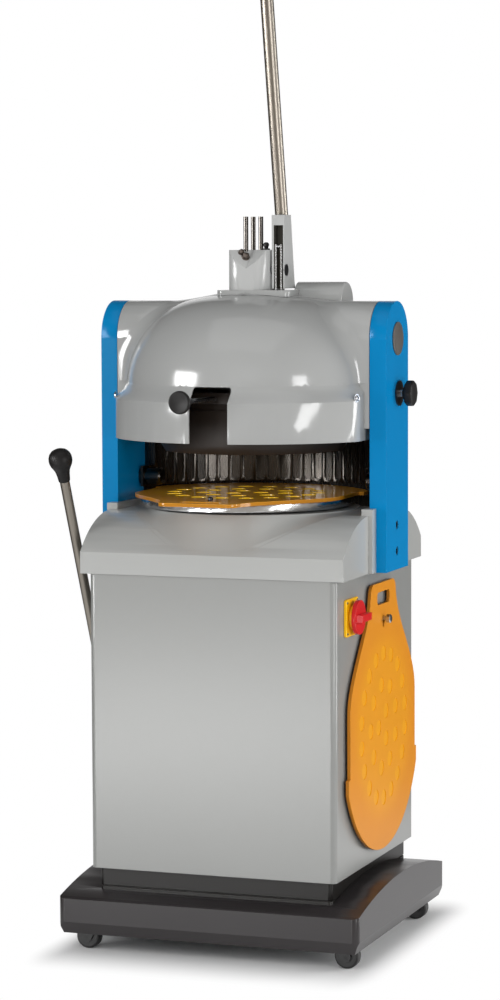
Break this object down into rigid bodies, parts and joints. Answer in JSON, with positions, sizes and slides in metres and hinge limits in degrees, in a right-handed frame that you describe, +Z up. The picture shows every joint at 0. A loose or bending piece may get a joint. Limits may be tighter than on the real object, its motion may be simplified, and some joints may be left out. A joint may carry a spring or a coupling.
{
  "type": "divider rounder",
  "caption": "Semi-automatic bakery divider rounder: a grey wheeled cabinet with an orbiting rounding plate under a tilting, lever-operated press head between blue cheeks.",
  "frame": {"origin": "on the floor, under the press axis", "axes": "+Z up along the press axis, -Y towards the operator, +X to the operator's right"},
  "size_m": [0.6699, 0.6625, 2.0959],
  "materials": {
    "grey_paint": "satin",
    "blue_paint": "gloss",
    "black_paint": "satin",
    "motor_paint": "satin",
    "ring_bronze": "satin",
    "iron": "machined",
    "steel": "ground",
    "dark_steel": "satin",
    "stainless": "polished",
    "chrome": "polished",
    "aluminium": "turned",
    "orange_plastic": "gloss",
    "white_plastic": "matte",
    "black_plastic": "gloss",
    "yellow_plastic": "satin",
    "red_plastic": "satin",
    "rubber": "matte",
    "castor_plastic": "matte"
  },
  "bodies": {
    "machine": {"base_cover": "black_paint", "base_frame": "iron", "riser": "black_paint", "cabinet": "grey_paint", "rear_panel": "grey_paint", "machine_frame": "iron", "table_cover": "grey_paint", "left_cheek": "blue_paint", "right_cheek": "blue_paint", "cheek_bolts": "dark_steel", "rear_guard": "stainless", "guard_stubs": "steel", "crank_housing": "iron", "drive_motor": "motor_paint", "drive_belt": "rubber", "switch_plate": "yellow_plastic", "plate_hook": "steel", "spare_plate": "orange_plastic", "lock_bush": "steel", "lever_boss": "steel"},
    "head": {"hood": "grey_paint", "head_fairings": "grey_paint", "head_frame": "iron", "top_flange": "grey_paint", "guide_block": "grey_paint", "spring_housing": "grey_paint", "trunnion_discs": "chrome"},
    "ram": {"ram_crosshead": "iron", "guide_rods": "steel", "press_links": "steel", "pressure_ring": "ring_bronze", "press_plate": "aluminium", "press_segments": "white_plastic", "knife_grid": "steel"},
    "lock": {"lock_ring": "ring_bronze", "lock_rod": "steel", "lock_knob": "black_plastic"},
    "lever": {"lever_arm": "grey_paint", "lever_pivot": "dark_steel", "lever_bar": "chrome", "lever_grip": "black_plastic"},
    "plunger": {"plunger_pin": "steel", "plunger_knob": "black_plastic"},
    "side_lever": {"rounding_lever": "steel", "rounding_knob": "black_plastic"},
    "crank": {"crank_shaft": "steel", "crank_pulley": "iron"},
    "table": {"table_disc": "aluminium", "table_pin": "dark_steel", "rounding_plate": "orange_plastic"},
    "motor_rotor": {"motor_pulley": "iron"},
    "switch": {"switch_handle": "red_plastic"},
    "castor_fl": {"castor_fork_fl": "black_paint"},
    "wheel_fl": {"castor_wheel_fl": "castor_plastic"},
    "castor_fr": {"castor_fork_fr": "black_paint"},
    "wheel_fr": {"castor_wheel_fr": "castor_plastic"},
    "castor_rl": {"castor_fork_rl": "black_paint"},
    "wheel_rl": {"castor_wheel_rl": "castor_plastic"},
    "castor_rr": {"castor_fork_rr": "black_paint"},
    "wheel_rr": {"castor_wheel_rr": "castor_plastic"}
  },
  "joints": [
    {"name": "head_tilt", "type": "hinge", "parent": "machine", "child": "head", "pos_m": [0, 0, 1.244], "axis": [-1, 0, 0], "range_deg": [0, 90]},
    {"name": "press_lever", "type": "hinge", "parent": "head", "child": "lever", "pos_m": [0.0625, -0.014, 1.38295], "axis": [1, 0, 0], "range_deg": [0, 90]},
    {"name": "press_stroke", "type": "slide", "parent": "head", "child": "ram", "axis": [0, 0, -1], "range_m": [0, 0.08], "stiffness_N_per_m": 1800, "springref_m": -0.26},
    {"name": "ring_lock", "type": "hinge", "parent": "ram", "child": "lock", "pos_m": [0, 0, 1.127], "axis": [0, 0, 1], "range_deg": [0, 11]},
    {"name": "cheek_plunger", "type": "slide", "parent": "machine", "child": "plunger", "axis": [-1, 0, 0], "range_m": [0, 0.007]},
    {"name": "rounding_lever_swing", "type": "hinge", "parent": "machine", "child": "side_lever", "pos_m": [-0.304, -0.1, 0.548], "axis": [1, 0, 0], "range_deg": [0, 45]},
    {"name": "crank_turn", "type": "hinge", "parent": "machine", "child": "crank", "pos_m": [0, 0, 0.8], "axis": [0, 0, 1], "continuous": true},
    {"name": "table_orbit", "type": "hinge", "parent": "crank", "child": "table", "pos_m": [-0.019, 0, 0.9], "axis": [0, 0, 1], "continuous": true},
    {"name": "motor_turn", "type": "hinge", "parent": "machine", "child": "motor_rotor", "pos_m": [0, 0.15, 0.71], "axis": [0, 0, 1], "continuous": true},
    {"name": "main_switch", "type": "hinge", "parent": "machine", "child": "switch", "pos_m": [0.285, -0.1725, 0.695], "axis": [1, 0, 0], "range_deg": [0, 90]},
    {"name": "swivel_fl", "type": "hinge", "parent": "machine", "child": "castor_fl", "pos_m": [-0.262, -0.236, 0.06], "axis": [0, 0, 1], "continuous": true},
    {"name": "roll_fl", "type": "hinge", "parent": "castor_fl", "child": "wheel_fl", "pos_m": [-0.278, -0.236, 0.025], "axis": [0, 1, 0], "continuous": true},
    {"name": "swivel_fr", "type": "hinge", "parent": "machine", "child": "castor_fr", "pos_m": [0.262, -0.236, 0.06], "axis": [0, 0, 1], "continuous": true},
    {"name": "roll_fr", "type": "hinge", "parent": "castor_fr", "child": "wheel_fr", "pos_m": [0.278, -0.236, 0.025], "axis": [0, 1, 0], "continuous": true},
    {"name": "swivel_rl", "type": "hinge", "parent": "machine", "child": "castor_rl", "pos_m": [-0.262, 0.236, 0.06], "axis": [0, 0, 1], "continuous": true},
    {"name": "roll_rl", "type": "hinge", "parent": "castor_rl", "child": "wheel_rl", "pos_m": [-0.278, 0.236, 0.025], "axis": [0, 1, 0], "continuous": true},
    {"name": "swivel_rr", "type": "hinge", "parent": "machine", "child": "castor_rr", "pos_m": [0.262, 0.236, 0.06], "axis": [0, 0, 1], "continuous": true},
    {"name": "roll_rr", "type": "hinge", "parent": "castor_rr", "child": "wheel_rr", "pos_m": [0.278, 0.236, 0.025], "axis": [0, 1, 0], "continuous": true}
  ],
  "couplings": [
    {"joint": "press_stroke", "follows": "press_lever", "m_per_rad": 0.05093},
    {"joint": "table_orbit", "follows": "crank_turn", "ratio": -1},
    {"joint": "motor_turn", "follows": "crank_turn", "ratio": 3.3333}
  ]
}
